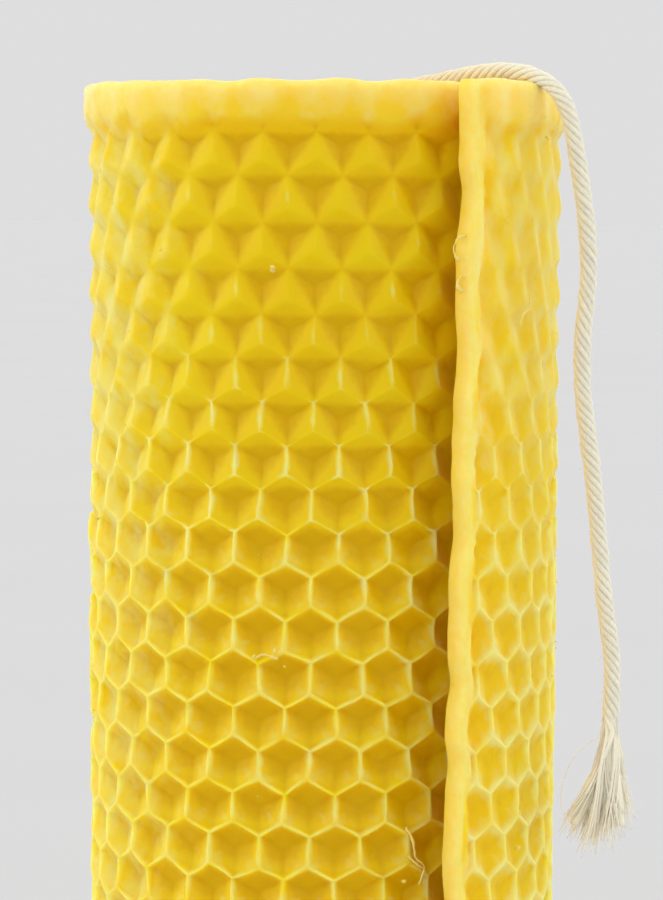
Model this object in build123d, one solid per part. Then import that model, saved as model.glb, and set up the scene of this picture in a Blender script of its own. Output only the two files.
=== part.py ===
from build123d import *
from math import ceil, floor, pi, radians, sqrt, tan
import os

# Rolled honeycomb beeswax candle. Two sheets of embossed comb foundation are rolled round a
# twisted cotton wick: the inner sheet first, then a shorter outer one that carries on the
# same spiral from the inner sheet's end. The outer sheet's free end is a little flatter than
# the roll, so it stands off the turn below. Each sheet is modelled as a plain band as thick
# as its embossing. The wick leaves the roll at the top, lies across it, bends over the rim
# and hangs down the side to a frayed end.
# Millimetres, +Z up. The origin is the wick's centre on the base plane and the front is -Y.
# Seen from above the roll winds inwards counter-clockwise. Angles along it are in degrees
# inwards from the +X axis, so the free end, or lap, has negative ones.

# Roll
candle_height = 143.0
sheet_thickness = 3.0       # peak to peak of the embossing on both faces
top_edge_radius = 1.2       # rounding along both sides of a sheet's top edge
layer_pitch = 3.6           # radial distance from one turn to the next
roll_radius = 25.7          # from the wick to the middle of the sheet where the lap begins
lap_radius = 33.3           # of the middle of the sheet along the lap
lap_angle = 47.5            # from the +X axis to the free edge, about the lap's own centre
inner_end_angle = 2310.0    # where the innermost turn meets the wick
inner_sheet_length = 413.0  # one full foundation sheet
inner_sheet_drop = 4.6      # how far the inner sheet's top lies below the rim

# Wick
wick_diameter = 2.0
fray_length = 14.0
fray_end_diameter = 5.2

# Route of the free wick: x, y, and z measured from the rim.
wick_route = [
    (0.0, 0.0, -4.6),
    (0.0, 0.0, -2.75),
    (1.1, -0.75, -1.45),
    (4.0, -2.7, -1.15),
    (9.6, -6.6, -0.2),
    (16.2, -11.2, 1.5),
    (21.1, -14.5, 1.95),
    (25.6, -17.3, -0.35),
    (27.1, -17.9, -6.5),
    (29.0, -17.4, -18.5),
    (27.8, -17.0, -29.5),
    (29.3, -16.6, -39.5),
    (30.2, -16.3, -47.0),
    (30.9, -16.1, -54.5),
    (32.3, -15.9, -62.5),
    (31.8, -15.7, -68.8),
]
arc_share = 0.45            # part of the shorter run that a corner's arc takes up


def middle_radius(angle):
    """Distance from the wick to the middle of the sheet at an angle along the spiral."""
    return roll_radius - layer_pitch * angle / 360


def angle_at_radius(radius):
    return (roll_radius - radius) / layer_pitch * 360


def lap_arc(offset):
    centre_x = roll_radius - lap_radius
    return CenterArc((centre_x, 0), lap_radius + offset, -lap_angle, lap_angle)


def spiral_arcs(start, end, offset):
    """Semicircles on alternate centres, which make a spiral that is smooth at each half turn."""
    arcs = []
    for index in range(floor(start / 180), ceil(end / 180)):
        first = max(start, 180 * index)
        last = min(end, 180 * (index + 1))
        centre_x = layer_pitch / 4 * (-1) ** index
        radius = middle_radius(180 * index) - layer_pitch / 4 + offset
        arcs.append(CenterArc((centre_x, 0), radius, first, last - first))
    return arcs


def rolled_sheet(outside, inside, height):
    """Band between two rows of arcs, stood on the base plane, with a rounded top edge."""
    outer_end = Line(outside[0] @ 0, inside[0] @ 0)
    inner_end = Line(outside[-1] @ 1, inside[-1] @ 1)
    band = extrude(make_face(outside + inside + [outer_end, inner_end]), height)
    top_arcs = band.faces().sort_by(Axis.Z)[-1].edges().filter_by(GeomType.CIRCLE)
    return fillet(top_arcs, top_edge_radius)


def outer_sheet(joint_angle):
    half = sheet_thickness / 2
    outside = [lap_arc(half)] + spiral_arcs(0, joint_angle, half)
    inside = [lap_arc(-half)] + spiral_arcs(0, joint_angle, -half)
    return rolled_sheet(outside, inside, candle_height)


def inner_sheet(joint_angle, height):
    half = sheet_thickness / 2
    outside = spiral_arcs(joint_angle, inner_end_angle, half)
    inside = spiral_arcs(joint_angle, inner_end_angle, -half)
    return rolled_sheet(outside, inside, height)


def corner_radii(points):
    """Largest arc at each corner that leaves both of its runs some straight length."""
    runs = [after - before for before, after in zip(points, points[1:])]
    radii = []
    for run_in, run_out in zip(runs, runs[1:]):
        shorter = min(run_in.length, run_out.length)
        half_turn = radians(run_in.get_angle(run_out)) / 2
        radii.append(arc_share * shorter / tan(half_turn))
    return radii


def hanging_wick(points):
    """Tube along the route's straight runs and arcs, with its path."""
    path = FilletPolyline(*points, radius=corner_radii(points))
    section = Plane(origin=path @ 0, z_dir=path % 0) * Circle(wick_diameter / 2)
    return sweep(section, path=path), path


def frayed_end(path):
    """Cone of loose strands in line with the end of the tube."""
    end_plane = Plane(origin=path @ 1, z_dir=path % 1)
    tuft = Cone(
        wick_diameter / 2,
        fray_end_diameter / 2,
        fray_length,
        align=(Align.CENTER, Align.CENTER, Align.MIN),
    )
    return end_plane * tuft


inner_end_radius = middle_radius(inner_end_angle)
joint_radius = sqrt(inner_sheet_length * layer_pitch / pi + inner_end_radius ** 2)
joint_angle = angle_at_radius(joint_radius)
inner_top = candle_height - inner_sheet_drop
route = [Vector(x, y, candle_height + z) for x, y, z in wick_route]
wick_tail, tail_path = hanging_wick(route)

nodes = {
    "sheet_outer": outer_sheet(joint_angle),
    "sheet_inner": inner_sheet(joint_angle, inner_top),
    "wick_core": extrude(Circle(wick_diameter / 2), inner_top),
    "wick_tail": wick_tail,
    "wick_fray": frayed_end(tail_path),
}
os.makedirs("parts", exist_ok=True)
for name, shape in nodes.items():
    shape.label = name
    export_step(shape, f"parts/{name}.step")

lap_length = pi * lap_radius * lap_angle / 180
outer_sheet_length = lap_length + pi * (roll_radius ** 2 - joint_radius ** 2) / layer_pitch
tube_volume = pi * wick_diameter ** 2 / 4 * tail_path.length
print("corner radii:", [round(radius, 1) for radius in corner_radii(route)])
print(f"free wick: tube {tail_path.length:.1f} mm, frayed end {fray_length:.1f} mm more")
print(f"tube volume {wick_tail.volume:.1f} mm3, section times length {tube_volume:.1f} mm3")
print(f"outer sheet {outer_sheet_length:.0f} mm long, joint at radius {joint_radius:.2f} mm")
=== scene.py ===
import math
from collections import namedtuple
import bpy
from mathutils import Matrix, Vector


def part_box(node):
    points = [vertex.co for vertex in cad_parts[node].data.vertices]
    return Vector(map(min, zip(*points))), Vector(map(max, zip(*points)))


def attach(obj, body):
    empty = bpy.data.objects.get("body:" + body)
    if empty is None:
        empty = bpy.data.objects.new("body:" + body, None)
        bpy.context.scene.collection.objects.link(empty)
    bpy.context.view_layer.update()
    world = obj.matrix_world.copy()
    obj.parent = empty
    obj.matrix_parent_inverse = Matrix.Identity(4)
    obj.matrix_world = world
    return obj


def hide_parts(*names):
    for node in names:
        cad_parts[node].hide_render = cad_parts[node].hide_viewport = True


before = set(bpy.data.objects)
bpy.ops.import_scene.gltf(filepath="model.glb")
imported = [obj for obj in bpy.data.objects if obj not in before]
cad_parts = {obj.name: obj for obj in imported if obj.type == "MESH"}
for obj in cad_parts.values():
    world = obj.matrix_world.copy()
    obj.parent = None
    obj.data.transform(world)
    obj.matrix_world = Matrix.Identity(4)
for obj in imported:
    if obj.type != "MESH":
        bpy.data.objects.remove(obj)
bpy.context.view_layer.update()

from types import SimpleNamespace
import bmesh
import bpy
import numpy as np
from mathutils import Matrix, Vector
from mathutils.geometry import delaunay_2d_cdt

# A rolled honeycomb beeswax candle with a twisted cotton wick.
# Lengths are in millimetres and MM turns them into Blender's metres. The z axis points up from
# the base, and "depth" is measured down from the rim. A sheet is drawn flat first: "along" runs
# along its middle, from the +X axis where the lap ends, and is positive inwards. "Offset" stands
# out from that middle. A pair of numbers with "zone" in its name is where a smooth change from
# one look to another begins and ends.
MM = 0.001


def cad_mm(node):
    """A CAD node's lowest and highest corner in millimetres."""
    low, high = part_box(node)
    return np.array(low) / MM, np.array(high) / MM


# Roll, from the CAD model
layer_pitch = 3.6
sheet_thickness = 3.0
lap_radius = 33.3
candle_height = cad_mm("sheet_outer")[1][2]
inner_top = cad_mm("sheet_inner")[1][2]
wick_diameter = 2 * cad_mm("wick_core")[1][0]
roll_radius = cad_mm("sheet_outer")[1][1] - sheet_thickness / 2 + layer_pitch / 4
joint_along = 157.2         # where the outer sheet ends against the inner one
inner_sheet_length = 413.0
inner_end_along = joint_along + inner_sheet_length
joint_gap = 0.15

# Taper of the roll, which the lap's side doesn't share
taper_slope = 0.0128
taper_level = 45.0          # depth at which the roll has its CAD radius
taper_limit = 90.0          # depth below which it doesn't narrow further

# Embossing
half_cell = 3.06            # from a cell's centre up to its top corner
row_pitch = 1.5 * half_cell
cell_width = 5.27
lap_cell_width = 5.14       # the outer part of the sheet is stretched less
width_change_along = 60.0
front_ridge_along = 114.57  # an upright ridge of the rows with even numbers
front_ridge_depth = 24.27   # top end of that ridge
width_change_number = (width_change_along - front_ridge_along) / cell_width
relief = 0.78               # height of a peak over the mid level, and depth of a pit below it
blunting = 0.22             # share of that height lost where peaks and pits are rounded off
wax_thickness = 1.3
wall_foot = 0.34            # half width of a cell wall where it meets the relief
rim_stretch = 0.7           # how far the first rows are pulled up towards the rim
plain_back_offset = 0.1 - sheet_thickness / 2   # of the inner face where it isn't embossed

# Where the embossing changes: along the sheet
lap_zone = (-6, 10)         # from the lap to the roll
side_to_front_zone = (86, 113)      # from the left side, painted paler as if lit there, to the front
shade_zone = (125, 131)     # into the gap beside the lap, where the painted pit shade fades out so the lap's shadow is lighter
# and down from the rim
band_zone = (3.4, 5.6)      # from the plain band under the rim to the embossing
upright_wall_zone = (10, 42)
slanted_wall_zone = (30, 60)
triangle_zone = (30, 55)    # from pressed triangles to cells
lit_corner_zone = (36, 52)

# Free edge of the lap
free_edge_along = -26.8     # at the rim
free_edge_lean = -0.0165    # further along for each mm of depth
lap_rim_rise = 0.33         # how far the rim stands up beside the free edge
margin_zone = (0.9, 1.9)    # from the plain strip along the edge to the embossing

# Wax colours
clear_wax = (0.975, 0.565, 0.002)
bright_wax = (0.985, 0.620, 0.004)
# Painted shade in the pits and cells
pit_shade_wax = (0.82, 0.475, 0.0)
plain_wax = (0.91, 0.66, 0.03)
# Bloom, with painted highlights and painted light on walls, ridges, edges and the lit side
bloom_and_highlight_wax = (0.91, 0.755, 0.23)

# Cotton colours
cotton_shade = (0.91, 0.80, 0.57)
cotton_light = (0.985, 0.91, 0.71)
cotton_patch = (0.88, 0.78, 0.56)
# Painted shade in the grooves between strands
cotton_groove_shade = (0.74, 0.60, 0.38)
cotton_soaked = (0.80, 0.58, 0.26)
cotton_white = (1.0, 0.96, 0.80)

# Light, as radiance: an even part, and panels that add to it. A panel has a direction, the
# angles from it in degrees where its fading begins and ends, and its strength.
ambient_light = 0.70
light_panels = [
    ((0, 1, 0.3), 20, 150, 0.40),           # behind
    ((-0.9, -0.5, 0.2), 20, 80, 0.46),      # front left
    ((-1, -0.2, 0.2), 15, 55, 0.5),         # left
    ((1, -0.3, 0.2), 15, 55, 0.75),         # right
    ((0, -0.25, 1), 15, 45, -0.15),         # overhead, where the tent is duller
]
backdrop_grey = 0.73
floor_grey = 0.628          # looks like the backdrop under this light


def smoothstep(low, high, value):
    """Eases from 0 at low to 1 at high."""
    t = np.clip((np.asarray(value, float) - low) / (high - low), 0, 1)
    return t * t * (3 - 2 * t)


def mix(a, b, share):
    return a + (b - a) * share


def smooth_noise(x, y, size, seed):
    """Smooth random field, mostly between -1 and 1, with features about size mm across."""
    draw = np.random.default_rng(seed)
    waves = 10
    total = np.zeros(np.broadcast(x, y).shape)
    for _ in range(waves):
        heading, phase = draw.uniform(0, 2 * math.pi, 2)
        wavelength = size * draw.uniform(1.2, 3.2)
        run = x * math.cos(heading) + y * math.sin(heading)
        total += np.sin(2 * math.pi / wavelength * run + phase)
    return total / math.sqrt(waves)


# ---------------- meshes and materials

def make_object(name, points, faces, material):
    """Smooth mesh object from points in millimetres."""
    mesh = bpy.data.meshes.new(name)
    mesh.from_pydata([tuple(p) for p in np.asarray(points) * MM], [], faces)
    mesh.materials.append(material)
    mesh.polygons.foreach_set("use_smooth", [True] * len(mesh.polygons))
    mesh.update()
    piece = bpy.data.objects.new(name, mesh)
    bpy.context.scene.collection.objects.link(piece)
    return piece


def set_attribute(piece, name, values):
    layer = piece.data.attributes.new(name, "FLOAT", "POINT")
    layer.data.foreach_set("value", np.asarray(values, np.float32))


class NodeGraph:
    """Adds shader nodes to a node tree. Most methods return the new node's output."""

    def __init__(self, tree):
        self.tree = tree

    def feed(self, node, inputs):
        """Links a node's inputs to other nodes' outputs or gives them fixed values."""
        for name, value in inputs.items():
            socket = node.inputs[name]
            if isinstance(value, bpy.types.NodeSocket):
                self.tree.links.new(value, socket)
            else:
                socket.default_value = (*value, 1) if socket.type == "RGBA" else value

    def add(self, kind, inputs, **settings):
        node = self.tree.nodes.new("ShaderNode" + kind)
        for name, value in settings.items():
            setattr(node, name, value)
        self.feed(node, inputs)
        return node

    def coordinates(self, kind):
        return self.add("TexCoord", {}).outputs[kind]

    def attribute(self, name):
        return self.add("Attribute", {}, attribute_name=name).outputs["Fac"]

    def noise(self, place, scale, detail=3.0):
        inputs = {"Vector": place, "Scale": scale, "Detail": detail, "Roughness": 0.55}
        return self.add("TexNoise", inputs).outputs["Fac"]

    def ramp(self, value, *stops):
        """Colour ramp with two (position, colour) stops."""
        node = self.add("ValToRGB", {"Fac": value})
        for element, (position, colour) in zip(node.color_ramp.elements, stops):
            element.position = position
            element.color = (*colour, 1)
        return node.outputs["Color"]

    def mix_colour(self, share, first, second):
        return self.add("Mix", {0: share, 6: first, 7: second}, data_type="RGBA").outputs[2]

    def calculate(self, operation, first, second, clamp=True):
        inputs = {0: first, 1: second}
        return self.add("Math", inputs, operation=operation, use_clamp=clamp).outputs[0]

    def map_range(self, value, from_range, to_range, interpolation="LINEAR"):
        inputs = {"Value": value, "From Min": from_range[0], "From Max": from_range[1],
                  "To Min": to_range[0], "To Max": to_range[1]}
        return self.add("MapRange", inputs, interpolation_type=interpolation).outputs["Result"]

    def bump(self, height, distance, strength, normal=None):
        inputs = {"Height": height, "Distance": distance * MM, "Strength": strength}
        if normal is not None:
            inputs["Normal"] = normal
        return self.add("Bump", inputs).outputs["Normal"]


def new_material(name):
    material = bpy.data.materials.new(name)
    material.use_nodes = True
    return material, NodeGraph(material.node_tree), material.node_tree.nodes["Principled BSDF"]


black, white = (0.0, 0.0, 0.0), (1.0, 1.0, 1.0)


def wax_colour(graph, place, fine):
    """Cloudy yellow with painted shade in the pits, even on plain wax, and paler with bloom and painted
    highlights.
    """
    body = graph.ramp(graph.noise(place, 90.0), (0.3, clear_wax), (0.7, bright_wax))

    # Painted shade in the pits, from the pit attribute, with ragged edges
    ragged = graph.calculate("MULTIPLY", graph.noise(place, 1300.0), 0.3)
    pit = graph.calculate("ADD", graph.attribute("pit"), ragged)
    pit = graph.ramp(pit, (0.50, black), (0.88, white))
    colour = graph.mix_colour(pit, body, pit_shade_wax)
    colour = graph.mix_colour(graph.attribute("plain"), colour, plain_wax)

    # Bloom and painted highlights and light, from the crest attribute
    bloom_and_highlight = graph.calculate("MULTIPLY", graph.attribute("crest"), 0.72)
    bloom_and_highlight = graph.calculate("ADD", bloom_and_highlight, graph.calculate("MULTIPLY", fine, 0.45))
    bloom_and_highlight = graph.ramp(bloom_and_highlight, (0.42, black), (0.95, white))
    return graph.mix_colour(bloom_and_highlight, colour, bloom_and_highlight_wax)


def wax_material(name, softness):
    """Satin wax that light enters as far as softness says."""
    material, graph, shader = new_material(name)
    place = graph.coordinates("Object")
    fine = graph.noise(place, 900.0, 4.0)
    coarse_bump = graph.bump(graph.noise(place, 600.0, 2.0), 0.12, 0.5)
    graph.feed(shader, {
        "Base Color": wax_colour(graph, place, fine),
        "Roughness": graph.map_range(graph.noise(place, 420.0), (0.3, 0.7), (0.26, 0.46)),
        "Normal": graph.bump(fine, 0.035, 0.5, coarse_bump),
        "IOR": 1.42,
        "Specular IOR Level": 0.16,
        "Sheen Weight": 0.08,
        "Sheen Roughness": 0.4,
        "Subsurface Weight": softness,
        "Subsurface Radius": (1.0, 0.80, 0.25),
        "Subsurface Scale": 2.6 * MM,
    })
    return material


def cotton_material(name, softness, whiteness=0.0):
    """Undyed cotton: fine fibres, painted shade in the grooves, and golden where wax has soaked in."""
    material, graph, shader = new_material(name)
    place = graph.coordinates("Object")
    fibre = graph.noise(place, 2500.0)
    colour = graph.ramp(fibre, (0.25, cotton_shade), (0.6, cotton_light))
    patches = graph.calculate("MULTIPLY", graph.noise(place, 220.0, 2.0), 0.35)
    colour = graph.mix_colour(patches, colour, cotton_patch)
    # Painted shade in the grooves between strands, from the groove attribute
    grooves = graph.calculate("MULTIPLY", graph.attribute("groove"), 0.4)
    colour = graph.mix_colour(grooves, colour, cotton_groove_shade)
    across = graph.add("SeparateXYZ", {0: place}).outputs["X"]
    soaked = graph.map_range(across, (23 * MM, 10 * MM), (0.0, 0.6))
    colour = graph.mix_colour(soaked, colour, cotton_soaked)
    graph.feed(shader, {
        "Base Color": graph.mix_colour(whiteness, colour, cotton_white),
        "Normal": graph.bump(fibre, 0.06, 0.8),
        "Roughness": 0.85,
        "Sheen Weight": 0.35,
        "Sheen Roughness": 0.5,
        "Subsurface Weight": softness,
        "Subsurface Radius": (1.0, 0.85, 0.6),
        "Subsurface Scale": 0.9 * MM,
    })
    return material


# ---------------- camera and wick

def add_camera():
    """Camera at the photo's angle, close to the rim, with the base out of its view."""
    camera = bpy.data.objects.new("camera", bpy.data.cameras.new("camera"))
    camera.data.lens = 130.7
    camera.data.sensor_width = 36.0
    camera.data.clip_start = 10 * MM
    camera.data.clip_end = 200.0
    place = Vector((1.65, -363.5, candle_height - 13.7)) * MM
    pitch_down, roll = math.radians(4.16), math.radians(0.6)
    camera.matrix_world = (
        Matrix.Translation(place)
        @ Matrix.Rotation(math.pi / 2 - pitch_down, 4, "X")
        @ Matrix.Rotation(roll, 4, "Z")
    )
    bpy.context.scene.collection.objects.link(camera)
    bpy.context.scene.camera = camera


# The CAD model's route for the free wick: x, y, and z measured from the rim. Its three points
# over the rim are up to 0.25 lower here, as the drawn wick is a little thinner.
wick_route = [
    (0.0, 0.0, -4.6),
    (0.0, 0.0, -2.75),
    (1.1, -0.75, -1.45),
    (4.0, -2.7, -1.15),
    (9.6, -6.6, -0.2),
    (16.2, -11.2, 1.25),
    (21.1, -14.5, 1.7),
    (25.6, -17.3, -0.45),
    (27.1, -17.9, -6.5),
    (29.0, -17.4, -18.5),
    (27.8, -17.0, -29.5),
    (29.3, -16.6, -39.5),
    (30.2, -16.3, -47.0),
    (30.9, -16.1, -54.5),
    (32.3, -15.9, -62.5),
    (31.8, -15.7, -68.8),
]


def spline_points(route):
    """Points along a NURBS spline that has the route as its control points, in millimetres."""
    curve = bpy.data.curves.new("wick_line", "CURVE")
    curve.dimensions = "3D"
    curve.resolution_u = 24
    spline = curve.splines.new("NURBS")
    spline.points.add(len(route) - 1)
    for point, (x, y, z) in zip(spline.points, route):
        point.co = (x * MM, y * MM, (candle_height + z) * MM, 1)
    spline.order_u = 3
    spline.use_endpoint_u = True
    line = bpy.data.objects.new("wick_line", curve)
    mesh = bpy.data.meshes.new_from_object(line)
    points = np.array([vertex.co for vertex in mesh.vertices]) / MM
    bpy.data.objects.remove(line)
    bpy.data.curves.remove(curve)
    bpy.data.meshes.remove(mesh)
    return points


def evenly_spaced(points, step):
    """The same line with a point every step millimetres or so."""
    runs = np.linalg.norm(np.diff(points, axis=0), axis=1)
    travelled = np.concatenate([[0], np.cumsum(runs)])
    stops = np.linspace(0, travelled[-1], max(2, round(travelled[-1] / step) + 1))
    return np.stack([np.interp(stops, travelled, points[:, axis]) for axis in range(3)], axis=-1)


def line_frames(points):
    """Tangent and two side directions at each point, which don't spin about the line."""
    tangents = np.gradient(points, axis=0)
    tangents /= np.linalg.norm(tangents, axis=1)[:, None]
    side = np.cross(tangents[0], (0.31, 0.95, 0.05))
    sides = []
    for tangent in tangents:
        side = side - tangent * side.dot(tangent)
        side = side / np.linalg.norm(side)
        sides.append(side)
    sides = np.array(sides)
    return tangents, sides, np.cross(tangents, sides)


class TubeMesh:
    """Collects tubes round lines into one mesh."""

    def __init__(self):
        self.points, self.faces, self.grooves = [], [], []

    def add(self, line, radii, sides=8, groove_shade=None):
        _, first, second = line_frames(line)
        start = len(self.points)
        angles = np.linspace(0, 2 * math.pi, sides, endpoint=False)[None, :, None]
        ring = np.cos(angles) * first[:, None] + np.sin(angles) * second[:, None]
        radii = np.broadcast_to(radii, len(line))
        self.points.extend((line[:, None] + ring * radii[:, None, None]).reshape(-1, 3))
        # Painted shade in the grooves, kept as the groove attribute
        grooves = groove_shade(ring) if groove_shade else np.zeros((len(line), sides))
        self.grooves.extend(grooves.reshape(-1))
        for i in range(len(line) - 1):
            for j in range(sides):
                a, b = start + i * sides + j, start + i * sides + (j + 1) % sides
                self.faces.append((a, b, b + sides, a + sides))
        self.faces.append(tuple(start + j for j in reversed(range(sides))))
        last = start + (len(line) - 1) * sides
        self.faces.append(tuple(last + j for j in range(sides)))

    def object(self, name, material):
        piece = make_object(name, self.points, self.faces, material)
        set_attribute(piece, "groove", self.grooves)
        return piece


wick_step = 0.28            # between points along the free wick
strand_count = 6
strand_radius = 0.36
strand_lay = 6.4            # length of one full turn of a strand
strand_ring = 0.93 * wick_diameter / 2 - strand_radius
thinning_steps = 7          # points over which the strands thin out


def strand_lines(points):
    """The strands' centre lines, twisted round a line with evenly spaced points."""
    step = np.linalg.norm(points[1] - points[0])
    travelled = np.arange(len(points)) * step
    _, first, second = line_frames(points)
    lines = []
    for index in range(strand_count):
        wander = 0.10 * smooth_noise(travelled, index * 7.0, 5.0, 21)
        angle = 2 * math.pi * (index / strand_count - travelled / strand_lay) + wander
        radius = strand_ring * (1 + 0.05 * smooth_noise(travelled, index * 5.0, 3.0, 22))
        lines.append(
            points
            + first * (radius * np.cos(angle))[:, None]
            + second * (radius * np.sin(angle))[:, None]
        )
    return lines


def add_twisted_cord(tubes, points):
    """Strands twisted round a core. They thin out at the far end, where the tuft takes over."""
    thinning = np.clip((len(points) - 1 - np.arange(len(points))) / thinning_steps, 0.12, 1)
    for line in strand_lines(points):
        outward = line - points
        outward /= np.linalg.norm(outward, axis=1)[:, None]

        # Painted shade where the strand's surface faces inwards, into the grooves
        def groove_shade(ring, outward=outward):
            return np.clip(0.35 - (ring * outward[:, None]).sum(axis=2), 0, 1)

        thickness = strand_radius * (1 + 0.08 * smooth_noise(line[:, 2], line[:, 0], 2.5, 23))
        tubes.add(line, thickness * thinning, 9, groove_shade)
    tubes.add(points, strand_ring * 0.9 * thinning, 6)


def add_stray_fibres(tubes, points, count, seed):
    """Short fine hairs that lift off the cord."""
    draw = np.random.default_rng(seed)
    _, first, second = line_frames(points)
    t = np.linspace(0, 1, 5)[:, None]
    for _ in range(count):
        here = draw.integers(3, len(points) - 3)
        angle = draw.uniform(0, 2 * math.pi)
        out = first[here] * math.cos(angle) + second[here] * math.sin(angle)
        drift = draw.normal(0, 1, 3)
        length = draw.uniform(0.4, 1.1)
        start = points[here] + out * wick_diameter / 2 * 0.9
        lift = out * draw.uniform(0.12, 0.4)
        tubes.add(start + drift * length * 0.4 * t + lift * 4 * t * (1 - t) * 0.8, 0.018, 3)


def add_wick_tail(cotton):
    points = evenly_spaced(spline_points(wick_route), wick_step)
    tubes = TubeMesh()
    add_twisted_cord(tubes, points)
    add_stray_fibres(tubes, points, 160, 31)
    return tubes.object("wick_free_end", cotton), points


def stand_on_base(piece):
    """Lifts whatever dips under the base plane back onto it."""
    for vertex in piece.data.vertices:
        vertex.co.z = max(vertex.co.z, 0)


def add_wick_core(cotton):
    """The wick inside the roll, which shows at the base."""
    bottom, top = cad_mm("wick_core")
    points = evenly_spaced(np.array([(0, 0, bottom[2] + 0.05), (0, 0, top[2])]), 0.6)
    tubes = TubeMesh()
    add_twisted_cord(tubes, points)
    piece = tubes.object("wick_in_roll", cotton)
    stand_on_base(piece)
    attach(piece, "root")
    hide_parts("wick_core")


thick_fibres, fine_fibres = 9, 12     # in each bundle of the tuft
fibre_points = 20
filling_tips = (-3.6, -1.7, -0.2, 1.4)  # x at the end of each tube that fills the tuft's middle

# Where the tuft's bundles end, from the end of the cord: x, y, z. Each strand has three.
tuft_tips = [
    (-5.3, -0.6, -11.3),
    (-1.6, -1.2, -13.6),
    (1.6, -0.8, -10.6),
    (-3.4, 0.9, -13.3),
    (0.2, 1.7, -12.9),
    (2.2, 0.9, -11.6),
    (-4.6, -1.0, -10.2),
    (-2.4, 0.4, -12.4),
    (0.9, -1.5, -12.6),
    (-1.0, 1.3, -13.9),
    (2.9, -0.3, -9.8),
    (-0.4, -1.6, -13.2),
    (-4.0, 0.2, -12.0),
    (-2.9, -1.4, -13.7),
    (1.3, 0.6, -11.9),
    (0.6, -0.4, -13.4),
    (1.9, 1.4, -10.9),
    (-1.9, -0.3, -12.9),
]
stray_loop = [
    (-0.6, -0.7, -0.3),
    (-1.5, -0.7, -0.9),
    (-2.4, -0.6, -1.5),
    (-4.0, -0.7, -3.2),
    (-5.0, -0.6, -6.0),
    (-5.1, -0.5, -8.4),
    (-4.2, -0.6, -9.4),
    (-3.2, -0.6, -9.2),
]


def smooth_curve(points, count):
    """Points on a smooth line through a few points."""
    points = np.array(points, float)
    padded = np.concatenate([[2 * points[0] - points[1]], points, [2 * points[-1] - points[-2]]])
    curve = []
    for t in np.linspace(0, len(points) - 1 - 1e-6, count):
        i, u = int(t), t - int(t)
        a, b, c, d = padded[i:i + 4]
        curve.append(b + u * (c - a) / 2 + u * u * (a - 2.5 * b + 2 * c - d / 2)
                     + u ** 3 * (-a + 3 * b - 3 * c + d) / 2)
    return np.array(curve)


def bundle_guide(strand, end, tip):
    """Line of a bundle's middle, from inside the cord to its tip."""
    out = strand[-1] - end
    return smooth_curve([
        strand[-13], strand[-9], strand[-5], strand[-1],
        end + tip * (0.10, 0.30, 0.14) + out * 1.25,
        end + tip * (0.26, 0.45, 0.34) + out * 1.3,
        end + tip * (0.48, 0.65, 0.60) + out * 0.9,
        end + tip * (0.74, 0.85, 0.82) + out * 0.3,
        end + tip,
    ], fibre_points)


def add_bundle(tubes, guide, end, draw):
    """Fibres round a guide line, which spread and wave more towards its tip."""
    t = np.linspace(0, 1, fibre_points)
    _, across, upward = line_frames(guide)
    bundle = 0.20 + 0.50 * t ** 1.6
    for fibre in range(thick_fibres + fine_fibres):
        thick = fibre < thick_fibres
        distance = math.sqrt(draw.uniform(0, 1)) * (0.8 if thick else 1.2)
        turn = draw.uniform(0, 2 * math.pi) + 1.0 * t
        reach = draw.uniform(0.74, 1.0) if thick else draw.uniform(0.78, 1.02)
        spread = (bundle * distance)[:, None]
        wave = np.sin(t * draw.uniform(4, 11) + draw.uniform(0, 6))[:, None]
        line = guide + spread * (across * np.cos(turn)[:, None] + upward * np.sin(turn)[:, None])
        line = line + draw.normal(0, 0.14, 3) * wave * t[:, None] ** 1.5
        line = end + (line - end) * mix(1, reach, t)[:, None]
        radius = draw.uniform(0.11, 0.17) if thick else draw.uniform(0.03, 0.055)
        tubes.add(line, radius * (1 - 0.75 * t ** 3), 5 if thick else 3)


def add_wick_fray(cotton, points):
    """The cut end: each strand parts into bundles of fibres, which fan out into a tuft."""
    draw = np.random.default_rng(41)
    strands = strand_lines(points)
    end = points[-1]
    tubes = TubeMesh()
    for index, tip in enumerate(tuft_tips):
        guide = bundle_guide(strands[index % strand_count], end, np.array(tip))
        add_bundle(tubes, guide, end, draw)
    swell = np.sin(math.pi * np.linspace(0, 1, fibre_points) ** 1.3) ** 2
    for side in filling_tips:
        middle = smooth_curve([
            (strands[0][-1] + end) / 2,
            end + (0.08 * side, 0.0, -3.0),
            end + (0.6 * side, 0.1, -7.0),
            end + (side, 0.1, -10.4),
        ], fibre_points)
        tubes.add(middle, 0.48 + 0.40 * swell, 10)
    tubes.add(smooth_curve([end + np.array(point) for point in stray_loop], 40), 0.045, 4)
    return tubes.object("wick_tuft", cotton)


# ---------------- roll

half_turns = np.arange(16)
arc_radius = roll_radius - layer_pitch / 4 - layer_pitch / 2 * half_turns
arc_start = np.concatenate([[0], np.cumsum(math.pi * arc_radius)])[:-1]


def taper(along, z):
    """How far the roll is wider than in the CAD model at a place, in radius."""
    depth = np.minimum(candle_height - z, taper_limit)
    inner_share = 1 - 0.5 * smoothstep(150, 200, along)
    return taper_slope * (taper_level - depth) * smoothstep(0, 60, along) * inner_share


def roll_up(along, z, offset):
    """Points of the rolled sheet from places on the flat one."""
    turn = np.clip(np.searchsorted(arc_start, along, side="right") - 1, 0, None)
    on_lap = along < 0
    radius = np.where(on_lap, lap_radius, arc_radius[turn])
    centre = np.where(on_lap, roll_radius - lap_radius, layer_pitch / 4 * (-1.0) ** turn)
    start = np.where(on_lap, 0, arc_start[turn])
    angle = math.pi * turn + (along - start) / radius
    distance = radius + offset + taper(along, z)
    return np.stack([centre + distance * np.cos(angle), distance * np.sin(angle), z], axis=-1)


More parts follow.
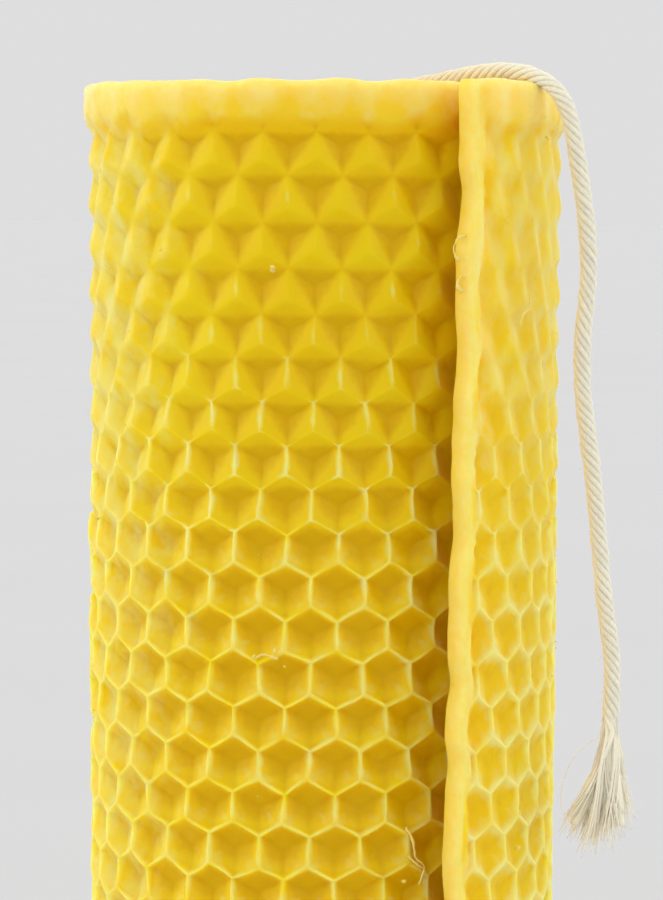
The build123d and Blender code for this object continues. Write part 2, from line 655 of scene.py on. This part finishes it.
def cell_number(along):
    """Place along the sheet counted in cells from the front ridge."""
    return np.where(
        along > width_change_along,
        (along - front_ridge_along) / cell_width,
        width_change_number + (along - width_change_along) / lap_cell_width,
    )


def along_of_cell(number):
    """Place along the sheet of a number of cells from the front ridge."""
    return np.where(
        number > width_change_number,
        front_ridge_along + number * cell_width,
        width_change_along + (number - width_change_number) * lap_cell_width,
    )


SADDLE, PIT, PEAK = 0, 1, 2


def lattice_place(number, depth):
    """Column and row of a place on the lattice of peaks, saddles and pits."""
    return 2 * number, (front_ridge_depth - depth) / half_cell - number


def lattice_shares(number, depth):
    """Shares of saddle, pit and peak at a place, and whether its nearest ridge is upright.

    Peaks, saddles and pits lie on a lattice of equal triangles, each with one of every kind.
    """
    column, row = lattice_place(number, depth)
    column_base, row_base = np.floor(column), np.floor(row)
    u, v = column - column_base, row - row_base
    upper = u + v > 1
    corners = [
        (column_base + upper, row_base + upper, np.where(upper, u + v - 1, 1 - u - v)),
        (column_base + 1, row_base, np.where(upper, 1 - v, u)),
        (column_base, row_base + 1, np.where(upper, 1 - u, v)),
    ]
    kinds = [((2 * i + j) % 3).astype(int) for i, j, _ in corners]
    shares = np.zeros((3, len(number)))
    for kind, (_, _, share) in zip(kinds, corners):
        shares[kind, np.arange(len(number))] += share
    lone_kind = np.where(upper, kinds[2], kinds[1])
    upright = (lone_kind == PIT) | (shares[SADDLE] > 0.97) | (shares[PEAK] > 0.97)
    return shares, upright


def soft_relief(number, depth):
    """The same relief as facets make, in soft waves: 1 at peaks, 0 at saddles and -1 in pits."""
    column, row = lattice_place(number, depth)
    third = 2 * math.pi / 3
    waves = (np.sin(third * (column - row)) + np.sin(third * (column + 2 * row))
             - np.sin(third * (2 * column + row)))
    return waves * 2 / (3 * math.sqrt(3))


def lift_in_cell(number, depth):
    """How far above its cell's centre a place is: -1 in the lower corner, 1 in the upper one."""
    row = (depth - front_ridge_depth - half_cell / 2) / row_pitch
    best = np.full(len(number), 9.0)
    lift = np.zeros(len(number))
    for near_row in (np.floor(row), np.floor(row) + 1):
        shift = np.where(near_row % 2 == 0, 0.5, 0.0)
        across = (number - shift - np.round(number - shift)) * cell_width
        down = (row - near_row) * row_pitch
        distance = np.hypot(across, down)
        lift = np.where(distance < best, -down / half_cell, lift)
        best = np.minimum(best, distance)
    return lift


def rounded_off(share):
    """A share that eases off towards 1, so that the tip it stands for is blunt."""
    eased_from = 0.6
    return share - blunting * (np.maximum(share - eased_from, 0) / (1 - eased_from)) ** 2


def embossing_at(along, depth, edge_distance):
    """What the embossing depends on at each place of a flat sheet."""
    number = cell_number(along)
    shares, upright = lattice_shares(number, depth)
    on_lap = 1 - smoothstep(*lap_zone, along)
    shallow = mix(0.72, 1, smoothstep(25, 60, depth))
    shallow = mix(shallow, mix(0.50, 0.65, smoothstep(12, 75, depth)), on_lap)
    wobble = smooth_noise(along, depth, 3.0, 1)
    ragged = 0.5 * smooth_noise(along, depth, 4.0, 5)
    return SimpleNamespace(
        along=along,
        depth=depth,
        number=number,
        shares=shares,
        upright=upright,
        on_lap=on_lap,
        clear=smoothstep(*side_to_front_zone, along),
        shallow=shallow,
        wobble=wobble,
        from_ridge=shares[PIT] * cell_width / 2,
        lift=lift_in_cell(number, depth),
        wall_growth=np.where(upright, smoothstep(*upright_wall_zone, depth),
                             smoothstep(*slanted_wall_zone, depth)),
        band=1 - smoothstep(*band_zone, depth + 0.6 * ragged),
        margin=1 - smoothstep(*margin_zone, edge_distance + 0.4 * ragged),
    )


def facet_height(at):
    """Height of the pressed facets between the walls."""
    softness = mix(mix(0.9, 0.5, at.clear), 0.45, smoothstep(20, 65, at.depth))
    softness = mix(softness, mix(0.95, 0.45, smoothstep(30, 75, at.depth)), at.on_lap)
    facets = rounded_off(at.shares[PEAK]) - rounded_off(at.shares[PIT])
    slope = mix(facets, soft_relief(at.number, at.depth), softness) * at.shallow
    triangle = smoothstep(0.3, 0.65, at.shares[PIT] - at.shares[PEAK])
    pressed = 0.25 * triangle * (1 - smoothstep(*triangle_zone, at.depth)) * (1 - at.on_lap)
    return relief * (slope - pressed)


def wall_height(at):
    """Height of the tops of ridges and walls: low between peaks near the rim, level further down."""
    ridge_share = at.shares[PEAK] / np.maximum(at.shares[PEAK] + at.shares[SADDLE], 1e-6)
    ridge = relief * rounded_off(ridge_share)
    upright_level = mix(-0.35, 0.76, smoothstep(18, 48, at.depth + 4 * at.wobble))
    slanted_level = mix(-0.45, 0.76, smoothstep(36, 60, at.depth + 5 * at.wobble))
    level = relief * (np.where(at.upright, upright_level, slanted_level)
                      + 0.12 * smooth_noise(at.along, at.depth, 4.0, 2))
    lip = 0.10 * smoothstep(15, 55, at.depth) + 0.05 * smooth_noise(at.along, at.depth, 1.3, 3)
    higher = (ridge + level + np.sqrt((ridge - level) ** 2 + 0.03)) / 2
    return (higher + lip) * at.shallow


def embossed_height(at):
    """Height of the outer face over its mid level."""
    foot = wall_foot * (1 + 0.35 * smooth_noise(at.along, at.depth, 1.8, 4))
    wall = 1 - smoothstep(0.05, foot, at.from_ridge)
    height = mix(facet_height(at), wall_height(at), wall * mix(0.25, 1, at.wall_growth))
    rib = 0.07 * np.cos(2 * math.pi * at.number) * smoothstep(0.8, 3.2, at.depth)
    height = mix(height, relief + 0.16 + 0.05 * at.wobble + rib, at.band)
    return mix(height, relief * 0.9, at.margin)


def wall_bloom_and_highlight(at):
    """Bloom and a painted highlight on the walls. Further down, a darker line splits the highlight in two
    on the upright ones.
    """
    width = mix(np.where(at.upright, 0.60, 0.42), 1.1, at.on_lap)
    width = width * (1 + 0.3 * smooth_noise(at.along, at.depth, 1.4, 11))
    uneven = np.clip(0.85 + 0.25 * smooth_noise(at.along, at.depth, 2.0, 13), 0, 1)
    pale = (1 - smoothstep(0.1 * width, width, at.from_ridge)) * at.wall_growth
    pale = pale * np.where(at.upright, 1.0, mix(0.75, 1, at.on_lap)) * uneven
    split = at.upright * (1 - smoothstep(0.0, 0.13, at.from_ridge)) * smoothstep(45, 60, at.depth)
    return pale * (1 - 0.5 * split * (1 - at.on_lap))


def corner_painted_light(at):
    """Painted light: lit patches in the lower corners of the cells."""
    return (0.42 * smoothstep(-0.2, 0.35, -at.lift) * smoothstep(0.15, 0.45, at.shares[PEAK])
            * smoothstep(0.02, 0.14, at.shares[PIT]) * smoothstep(*lit_corner_zone, at.depth))


def glint_paleness(at):
    """Short glints on the upright ridges, just under the peaks."""
    peak = at.shares[PEAK]
    glint = at.upright * (1 - smoothstep(0.05, 0.35, at.from_ridge)) * smoothstep(0.25, 0.6, peak)
    glint = glint * smoothstep(6, 14, at.depth) * (1 - smoothstep(0.7, 0.95, peak))
    glint = glint * np.clip(0.55 + 0.7 * smooth_noise(at.along, at.depth, 3.0, 12), 0, 1)
    return 0.8 * glint * (1 - 0.7 * at.on_lap)


def painted_side_light(at):
    """Painted light: the left side of the roll and the lap's upper part painted paler, as lit from the
    side.
    """
    patchy_side_light = np.clip(0.52 + 0.2 * smooth_noise(at.along, at.depth / 2, 1.8, 14), 0, 1)
    lap_painted_light = 0.85 * at.on_lap * (1 - smoothstep(*triangle_zone, at.depth))
    return patchy_side_light * np.maximum(lap_painted_light, (1 - at.clear) * (1 - at.on_lap))


def bloom_and_painted_light(at):
    """How pale each place is painted: bloom, with painted highlights and painted light on walls, corners,
    glints, the left side, the band and the strip along the free edge.
    """
    kinds = (wall_bloom_and_highlight(at), corner_painted_light(at), glint_paleness(at), painted_side_light(at))
    embossed = np.maximum.reduce(kinds)
    streaks = smooth_noise(at.along, at.depth / 3, 1.6, 10)
    # The band under the rim is painted paler at its very top and on the left side, where light falls on
    # it
    below = mix(0.62, 0.36, at.clear * (1 - at.on_lap))
    band = np.clip(mix(0.82, below, smoothstep(0.6, 3.2, at.depth)) + 0.16 * streaks, 0, 1)
    # The strip along the free edge is painted pale: a painted highlight
    margin = np.clip(0.58 + 0.35 * streaks, 0, 1)
    return mix(mix(embossed, band, at.band), margin, at.margin * (1 - 0.5 * at.band))


def painted_pit_shade(at):
    """Painted shade: how far the colour darkens, in triangles near the rim and heart-shaped in cells
    further down.
    """
    triangle = at.shares[PIT] - at.shares[PEAK] + 0.42 * at.clear
    heart = 1.2 * at.shares[PIT] * (1 + 1.1 * at.lift) + 0.20
    shade = mix(heart, triangle, 1 - smoothstep(34, 52, at.depth))
    shade = shade * mix(mix(0.6, 1, at.clear), 0.35, at.on_lap)
    shade = shade * (1 - 0.8 * smoothstep(*shade_zone, at.along))
    return np.clip(shade, 0, 1) * (1 - np.maximum(at.band, at.margin))


def plainness(at):
    """How even the wax is where it isn't embossed: in the band and beside the free edge."""
    in_band = at.band * smoothstep(0.3, 1.8, at.depth) * (1 - 0.6 * at.on_lap)
    return np.maximum(in_band, 0.55 * at.margin)


def cell_points(rings, stops):
    """One cell's points, flat, in cells and in half cells: rings of six sides, then the centre."""
    corners = [(0, 1), (-0.5, 0.5), (-0.5, -0.5), (0, -1), (0.5, -0.5), (0.5, 0.5)]
    points = []
    for ring in rings:
        for side, (x, y) in enumerate(corners):
            next_x, next_y = corners[(side + 1) % 6]
            points += [(ring * mix(x, next_x, stop), ring * mix(y, next_y, stop)) for stop in stops]
    points.append((0, 0))
    return np.array(points)


def cell_faces(ring_count, points_per_ring):
    faces = []
    for ring in range(ring_count - 1):
        start = ring * points_per_ring
        for i in range(points_per_ring):
            j = (i + 1) % points_per_ring
            faces.append((start + i, start + j, start + points_per_ring + j, start + points_per_ring + i))
    last = (ring_count - 1) * points_per_ring
    centre = ring_count * points_per_ring
    faces += [(last + i, last + (i + 1) % points_per_ring, centre) for i in range(points_per_ring)]
    return faces


# A cell's rings, as shares of its size, and the points on each ring's sides, as shares of a side
fine_rings = [1.0, 0.951, 0.894, 0.79, 0.45]
coarse_rings = [1.0]
fine_stops = [0.0, 0.3, 0.7]
coarse_stops = [0.0]


def flat_comb(start, end, deepest, fine_between, stops):
    """Flat mesh of whole cells that covers a sheet: places along it and depths, and faces.

    Cells between two places have all their rings. The others have only their outline and centre.
    """
    first, last = math.floor(cell_number(start)) - 1, math.ceil(cell_number(end)) + 1
    first_row = math.floor(-front_ridge_depth / row_pitch) - 1
    last_row = math.ceil((deepest - front_ridge_depth) / row_pitch) + 1
    points, faces = [], []
    count = 0
    for row in range(first_row, last_row + 1):
        depth = front_ridge_depth + half_cell / 2 + row * row_pitch
        for column in range(first, last + 1):
            number = column + (0.5 if row % 2 == 0 else 0.0)
            place = along_of_cell(number)
            rings = fine_rings if fine_between[0] < place < fine_between[1] else coarse_rings
            cell = cell_points(rings, stops)
            points.append(np.stack([number + cell[:, 0], depth - half_cell * cell[:, 1]], axis=-1))
            faces += [tuple(count + i for i in face) for face in cell_faces(len(rings), 6 * len(stops))]
            count += len(cell)
    points = np.concatenate(points)
    _, index, joined = np.unique(np.round(points * 1000).astype(int), axis=0,
                                 return_index=True, return_inverse=True)
    joined = joined.reshape(-1)
    points = points[index]
    points[:, 0] = along_of_cell(points[:, 0])
    return points, [tuple(joined[i] for i in face) for face in faces]


def clip_flat(points, faces, lines):
    """Cuts the flat mesh by straight lines, each a point and the direction to remove.

    Returns its points and faces, and its border as point numbers in order.
    """
    mesh = bmesh.new()
    vertices = [mesh.verts.new((x, y, 0)) for x, y in points]
    for face in faces:
        mesh.faces.new([vertices[i] for i in face])
    for (x, y), (out_x, out_y) in lines:
        geometry = mesh.verts[:] + mesh.edges[:] + mesh.faces[:]
        bmesh.ops.bisect_plane(mesh, geom=geometry, dist=0.04, plane_co=(x, y, 0),
                               plane_no=(out_x, out_y, 0), clear_outer=True)
    loose = [vertex for vertex in mesh.verts if not vertex.link_faces]
    bmesh.ops.delete(mesh, geom=loose, context="VERTS")
    mesh.verts.index_update()
    flat = np.array([vertex.co[:2] for vertex in mesh.verts])
    kept = [tuple(vertex.index for vertex in face.verts) for face in mesh.faces]
    after = {}
    for face in mesh.faces:
        for loop in face.loops:
            if loop.edge.is_boundary:
                after[loop.vert.index] = loop.link_loop_next.vert.index
    mesh.free()
    start = next(iter(after))
    border = [start]
    while after[border[-1]] != start:
        border.append(after[border[-1]])
    return flat, kept, border


def inner_face(flat, border, start, end, deepest):
    """Coarse mesh of the sheet's inner face inside the same border."""
    rim = flat[border]
    comb, _ = flat_comb(start, end, deepest, (0, 0), coarse_stops)
    low, high = rim.min(axis=0) + 1.0, rim.max(axis=0) - 1.0
    inside = np.all((comb > low) & (comb < high), axis=1)
    free_edge = free_edge_along + free_edge_lean * comb[:, 1]
    inside &= comb[:, 0] > free_edge + 1.8
    points = np.concatenate([rim, comb[inside]])
    edges = [(i, (i + 1) % len(rim)) for i in range(len(rim))]
    verts, _, faces, original, _, _ = delaunay_2d_cdt(
        [Vector(p) for p in points], edges, [], 1, 1e-5)
    return np.array([tuple(v) for v in verts]), faces, original


# How far the rounded borders of a sheet stand out past its flat part
Rounding = namedtuple("Rounding", "top bottom free end")

border_tolerance = 0.06     # for a place on one of the sheet's straight borders


def border_reach(flat, border, rounding):
    """For each border point, how far along and how far down the rounded edge reaches."""
    along, depth = flat[border].T
    on_top = np.abs(depth - depth.min()) < border_tolerance
    on_bottom = np.abs(depth - depth.max()) < border_tolerance
    on_end = np.abs(along - along.max()) < border_tolerance
    sloped = ~(on_top | on_bottom | on_end)
    beside_sloped = np.roll(sloped, 1) | np.roll(sloped, -1)
    on_free = sloped | ((on_top | on_bottom) & ~on_end & beside_sloped)
    reach_along = rounding.end * on_end - rounding.free * on_free
    reach_down = rounding.bottom * on_bottom - rounding.top * on_top
    return reach_along, reach_down


def edge_profile(steps, squareness):
    """(how far out, how far across) at points round an edge from the outer to the inner face."""
    angles = np.linspace(0, math.pi, steps + 1)[1:-1]
    out = np.sin(angles) ** squareness
    across = (1 - np.sign(np.cos(angles)) * np.abs(np.cos(angles)) ** squareness) / 2
    return zip(out, across)


def back_face_values(back):
    """Offset and pit share on the inner face, which is embossed apart from its top band. The pit share is
    used as painted pit shade.
    """
    shares, _ = lattice_shares(cell_number(back[:, 0]), back[:, 1])
    embossed = sheet_thickness / 2 - relief - wax_thickness + relief * (shares[PEAK] - shares[PIT])
    plain = 1 - smoothstep(*band_zone, back[:, 1])
    return mix(embossed, plain_back_offset, plain), shares[PIT]


def settle(along, depth, edge_distance, deepest):
    """The small unevenness of a real sheet: where each place of the flat one has moved to."""
    settled = smoothstep(0, 3, deepest - depth)
    jitter = 0.11 * settled
    moved_along = along + jitter * smooth_noise(along, depth, 2.8, 6)
    moved_depth = depth + jitter * smooth_noise(along, depth, 2.8, 7)
    rim_wave = 0.12 * smooth_noise(along, 0 * along, 5.0, 8)
    rim_wave = rim_wave - lap_rim_rise * (1 - smoothstep(-20, -13, along))
    near_top = 1 - smoothstep(0, 5, depth)
    stretched = rim_stretch * smoothstep(2, 8, depth) * (1 - smoothstep(8, 24, depth))
    moved_depth = moved_depth + rim_wave * near_top - stretched
    edge_wave = 0.30 * smooth_noise(0 * depth, depth, 4.5, 9)
    near_edge = 1 - smoothstep(0, 3, edge_distance)
    return moved_along + edge_wave * near_edge * settled, moved_depth


def build_sheet(name, span, deepest, lean, rounding, fine_between, stops, height_of, wax):
    """One embossed sheet, closed all round, rolled up. Its ends are at the two places in span."""
    start, end = span
    lines = [
        ((0, rounding.top), (0, -1)),
        ((0, deepest - rounding.bottom), (0, 1)),
        ((end - rounding.end, 0), (1, 0)),
        ((start + rounding.free, 0), (-1, lean)),
    ]
    has_free_edge = start < 0

    def edge_distance(along, depth):
        return along - (start + lean * depth) if has_free_edge else np.full(len(along), 99.0)

    comb, comb_faces = flat_comb(start + lean * deepest, end, deepest, fine_between, stops)
    flat, faces, border = clip_flat(comb, comb_faces, lines)
    at = embossing_at(*flat.T, edge_distance(*flat.T))
    outer_offset = sheet_thickness / 2 - relief + embossed_height(at)
    # Places, offsets, crest and pit values of the outer face, the rounded edge and the inner face. Crest
    # values carry bloom and painted highlights, pit values painted shade.
    parts = [(flat, outer_offset, bloom_and_painted_light(at), painted_pit_shade(at))]
    rows = [np.array(border)]
    count = len(flat)
    reach = np.stack(border_reach(flat, border, rounding), axis=-1)
    # The rounded edges are painted pale: bloom and a painted highlight
    for out, across in edge_profile(8, 0.62):
        parts.append((
            flat[border] + reach * out,
            mix(outer_offset[border], plain_back_offset, across),
            np.full(len(border), 0.9 * (1 - 0.5 * across)),
            np.zeros(len(border)),
        ))
        rows.append(count + np.arange(len(border)))
        count += len(border)

    back, back_faces, original = inner_face(flat, border, start + lean * deepest, end, deepest)
    back_offset, back_pits = back_face_values(back)
    border_index = {ids[0]: new for new, ids in enumerate(original) if ids and ids[0] < len(border)}
    order = np.array([border_index[i] for i in range(len(border))])
    back_offset[order] = plain_back_offset
    parts.append((back, back_offset, np.zeros(len(back)), back_pits))
    rows.append(count + order)

    for first, second in zip(rows, rows[1:]):
        for i in range(len(border)):
            j = (i + 1) % len(border)
            faces.append((int(first[j]), int(first[i]), int(second[i]), int(second[j])))
    faces += [tuple(count + i for i in face) for face in back_faces]

    place, offset, crest, pit = (np.concatenate(values) for values in zip(*parts))
    along, depth = place.T
    moved_along, moved_depth = settle(along, depth, edge_distance(along, depth), deepest)
    points = roll_up(moved_along, height_of(along, moved_depth), offset)
    piece = make_object(name, points, faces, wax)
    set_attribute(piece, "crest", crest)
    set_attribute(piece, "pit", pit)
    set_attribute(piece, "plain", np.append(plainness(at), np.zeros(len(points) - len(flat))))
    stand_on_base(piece)
    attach(piece, "root")
    return piece


def flat_top(along, depth):
    """Height of a place on the outer sheet."""
    return candle_height - depth


def add_outer_sheet(wax):
    piece = build_sheet(
        "outer_sheet",
        span=(free_edge_along, joint_along - joint_gap),
        deepest=candle_height,
        lean=free_edge_lean,
        rounding=Rounding(top=1.1, bottom=0.4, free=0.8, end=0.3),
        fine_between=(-40, 138),
        stops=fine_stops,
        height_of=flat_top,
        wax=wax,
    )
    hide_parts("sheet_outer")


def dished_top(along, depth):
    """Height of a place on the inner sheet, whose top edge falls towards the wick."""
    radius = np.sqrt(np.clip(roll_radius ** 2 - along * layer_pitch / math.pi, 0, None))
    top = inner_top + 3.0 * (np.clip(radius, 0, 20) / 20) ** 1.5
    return top * (1 - depth / inner_top)


def add_inner_sheet(wax):
    piece = build_sheet(
        "inner_sheet",
        span=(joint_along + joint_gap, inner_end_along),
        deepest=inner_top,
        lean=0.0,
        rounding=Rounding(top=1.1, bottom=0.4, free=0.3, end=0.6),
        fine_between=(0, 0),
        stops=coarse_stops,
        height_of=dished_top,
        wax=wax,
    )
    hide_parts("sheet_inner")


# Crumbs that stick to the wax: along, depth and size.
crumbs = [
    (110.5, 19.6, 0.42),
    (98.2, 17.8, 0.22),
    (108.9, 60.2, 0.30),
    (111.0, 59.6, 0.26),
    (-18.4, 81.2, 0.34),
    (-13.7, 5.5, 0.28),
    (124.6, 84.3, 0.26),
]

loose_crumb_count = 70      # small ones at random places

# Shavings: each a line of along, depth and height over the sheet's outer peaks.
shavings = [
    [(109.0, 60.4, 0.05), (109.9, 59.9, 0.35), (111.2, 60.3, 0.10)],
    [(124.7, 78.5, 0.10), (125.4, 80.0, 0.30), (125.9, 81.9, 0.05), (126.8, 82.9, 0.30),
     (126.4, 84.8, 0.1)],
    [(125.0, 81.6, 0.0), (126.0, 82.6, 0.25), (126.9, 83.2, 0.15), (126.9, 84.2, 0.0)],
    [(-17.8, 22.5, 0.10), (-18.1, 23.6, 0.25), (-19.2, 24.2, 0.1), (-19.9, 25.4, 0.2)],
    [(-27.0, 15.9, -1.2), (-28.2, 16.2, -1.4), (-28.7, 17.2, -1.5), (-28.4, 18.3, -1.4),
     (-27.9, 18.5, -1.4)],
    [(-27.2, 20.2, -1.2), (-28.0, 20.4, -1.4), (-28.2, 21.2, -1.4), (-27.6, 21.8, -1.3)],
]


def place_on_sheet(along, depth, height):
    """Points on the rolled outer sheet, at a height over its outer peaks."""
    offset = np.array(height) + sheet_thickness / 2
    return roll_up(np.array(along, float), candle_height - np.array(depth, float), offset)


def crumb_spots(draw):
    """Along, depth, size and height of each crumb: the chosen ones, then small ones at random."""
    spots = [(along, depth, size, 0.0) for along, depth, size in crumbs]
    for _ in range(loose_crumb_count):
        number = draw.integers(-27, 8) + 0.5 * draw.integers(0, 2)
        depth = front_ridge_depth + row_pitch * draw.integers(5, 26) + draw.uniform(-0.6, 3.4)
        spots.append((float(along_of_cell(number)), depth, draw.uniform(0.08, 0.2), -0.15))
    return spots


def add_shavings(wax):
    """Crumbs and thin curled shavings left where the sheet was cut and handled."""
    draw = np.random.default_rng(51)
    tubes = TubeMesh()
    for shaving in shavings:
        line = smooth_curve(place_on_sheet(*np.array(shaving).T), 24)
        line = line + draw.normal(0, 0.03, line.shape)
        width = 0.13 * (1 + 0.5 * smooth_noise(line[:, 2], line[:, 0], 0.8, 52))
        tubes.add(line, np.maximum(width, 0.04), 6)
    t = np.linspace(-1, 1, 7)
    for along, depth, size, height in crumb_spots(draw):
        middle = place_on_sheet(along, min(depth, candle_height - 1), height)
        turn = draw.normal(0, 1, 3)
        turn = turn / np.linalg.norm(turn)
        line = middle + turn * size * t[:, None] + draw.normal(0, 0.15 * size, (7, 3))
        tubes.add(line, size * np.sqrt(np.maximum(1.02 - t ** 2, 0.02)) * draw.uniform(0.5, 0.9), 6)
    piece = tubes.object("wax_shavings", wax)
    set_attribute(piece, "crest", np.full(len(tubes.points), 0.9))
    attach(piece, "root")


# ---------------- stage

def floor_material():
    material, graph, shader = new_material("pale_floor")
    mottle = graph.noise(graph.coordinates("Object"), 6.0, 2.0)
    darker = floor_grey - 0.01
    graph.feed(shader, {
        "Base Color": graph.ramp(mottle, (0.3, (darker,) * 3), (0.7, (floor_grey,) * 3)),
        "Roughness": 0.9,
        "Specular IOR Level": 0.1,
    })
    return material


def add_floor():
    """Wide pale floor that runs off to the horizon."""
    half_width, squares = 40000.0, 6
    stops = np.linspace(-half_width, half_width, squares + 1)
    points = [(x, y, 0) for y in stops for x in stops]
    faces = []
    for row in range(squares):
        for column in range(squares):
            a = row * (squares + 1) + column
            faces.append((a, a + 1, a + squares + 2, a + squares + 1))
    make_object("floor", points, faces, floor_material())


def panel_light(graph, direction, towards, inner, outer, strength):
    """Light from one panel, which fades out between two angles from its direction, in degrees."""
    inputs = {0: direction, 1: Vector(towards).normalized()}
    facing = graph.add("VectorMath", inputs, operation="DOT_PRODUCT").outputs["Value"]
    cosines = (math.cos(math.radians(outer)), math.cos(math.radians(inner)))
    return graph.map_range(facing, cosines, (0.0, strength), "SMOOTHSTEP")


def add_light_tent():
    """Soft light from all round, brighter at both sides and behind, duller overhead.

    The camera itself sees an even pale grey in place of the tent.
    """
    world = bpy.data.worlds.new("tent")
    world.use_nodes = True
    graph = NodeGraph(world.node_tree)
    direction = graph.coordinates("Generated")
    light = ambient_light
    for panel in light_panels:
        light = graph.calculate("ADD", light, panel_light(graph, direction, *panel), clamp=False)
    lighting = world.node_tree.nodes["Background"]
    graph.feed(lighting, {"Color": white, "Strength": light})
    backdrop = graph.add("Background", {"Color": (backdrop_grey,) * 3})
    seen = graph.add("LightPath", {}).outputs["Is Camera Ray"]
    choice = graph.add("MixShader", {0: seen, 1: lighting.outputs[0], 2: backdrop.outputs[0]})
    graph.feed(world.node_tree.nodes["World Output"], {"Surface": choice.outputs[0]})
    bpy.context.scene.world = world


def main():
    settings = bpy.context.scene.view_settings
    settings.view_transform = "Standard"
    settings.look = "None"
    add_camera()
    wax = wax_material("beeswax", 1.0)
    cotton = cotton_material("wick_cotton", 0.5)
    tail, line = add_wick_tail(cotton)
    tuft = add_wick_fray(cotton_material("wick_fibres", 0.0, 0.7), line)
    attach(tail, "root")
    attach(tuft, "root")
    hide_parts("wick_tail")
    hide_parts("wick_fray")
    add_wick_core(cotton)
    add_outer_sheet(wax)
    add_inner_sheet(wax)
    add_shavings(wax_material("beeswax_shavings", 0.0))
    add_floor()
    add_light_tent()


main()
